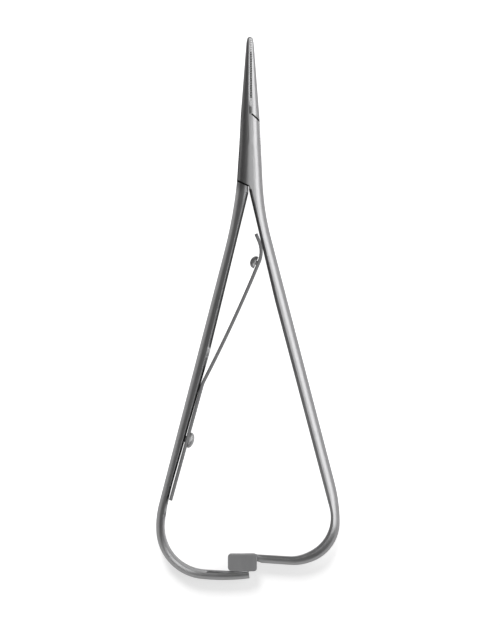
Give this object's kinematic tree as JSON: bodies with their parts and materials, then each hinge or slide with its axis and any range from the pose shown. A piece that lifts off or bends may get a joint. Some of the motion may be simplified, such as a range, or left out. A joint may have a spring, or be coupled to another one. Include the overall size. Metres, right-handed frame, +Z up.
{
  "type": "mathieu needle holder",
  "caption": "Surgical needle holder with a box joint, toothed tapering jaws, bowed handles with a catch at their lower ends, and a leaf spring between them.",
  "frame": {"origin": "where the joint pin's axis meets the surface that the instrument lies on", "axes": "+X to the right seen from the front, +Y from the pivot along the closed jaws to their tip, +Z up from the resting surface, along the pin"},
  "size_m": [0.0474, 0.1401, 0.0053],
  "materials": {
    "forged_steel": "satin glass-beaded stainless steel",
    "pin_steel": "satin, ground flush with the box",
    "spring_steel": "satin spring steel with a rolled grain",
    "screw_steel": "turned and lightly polished steel"
  },
  "bodies": {
    "box_side": {"box_half": "forged_steel", "joint_pin": "pin_steel", "guide_screw": "screw_steel"},
    "through_side": {"through_half": "forged_steel", "leaf_spring": "spring_steel", "spring_screw": "screw_steel"}
  },
  "joints": [
    {"name": "box_joint", "type": "hinge", "parent": "box_side", "child": "through_side", "pos_m": [0, 0, 0.00266], "axis": [0, 0, -1], "range_deg": [0, 20], "deforming": ["leaf_spring"]}
  ]
}
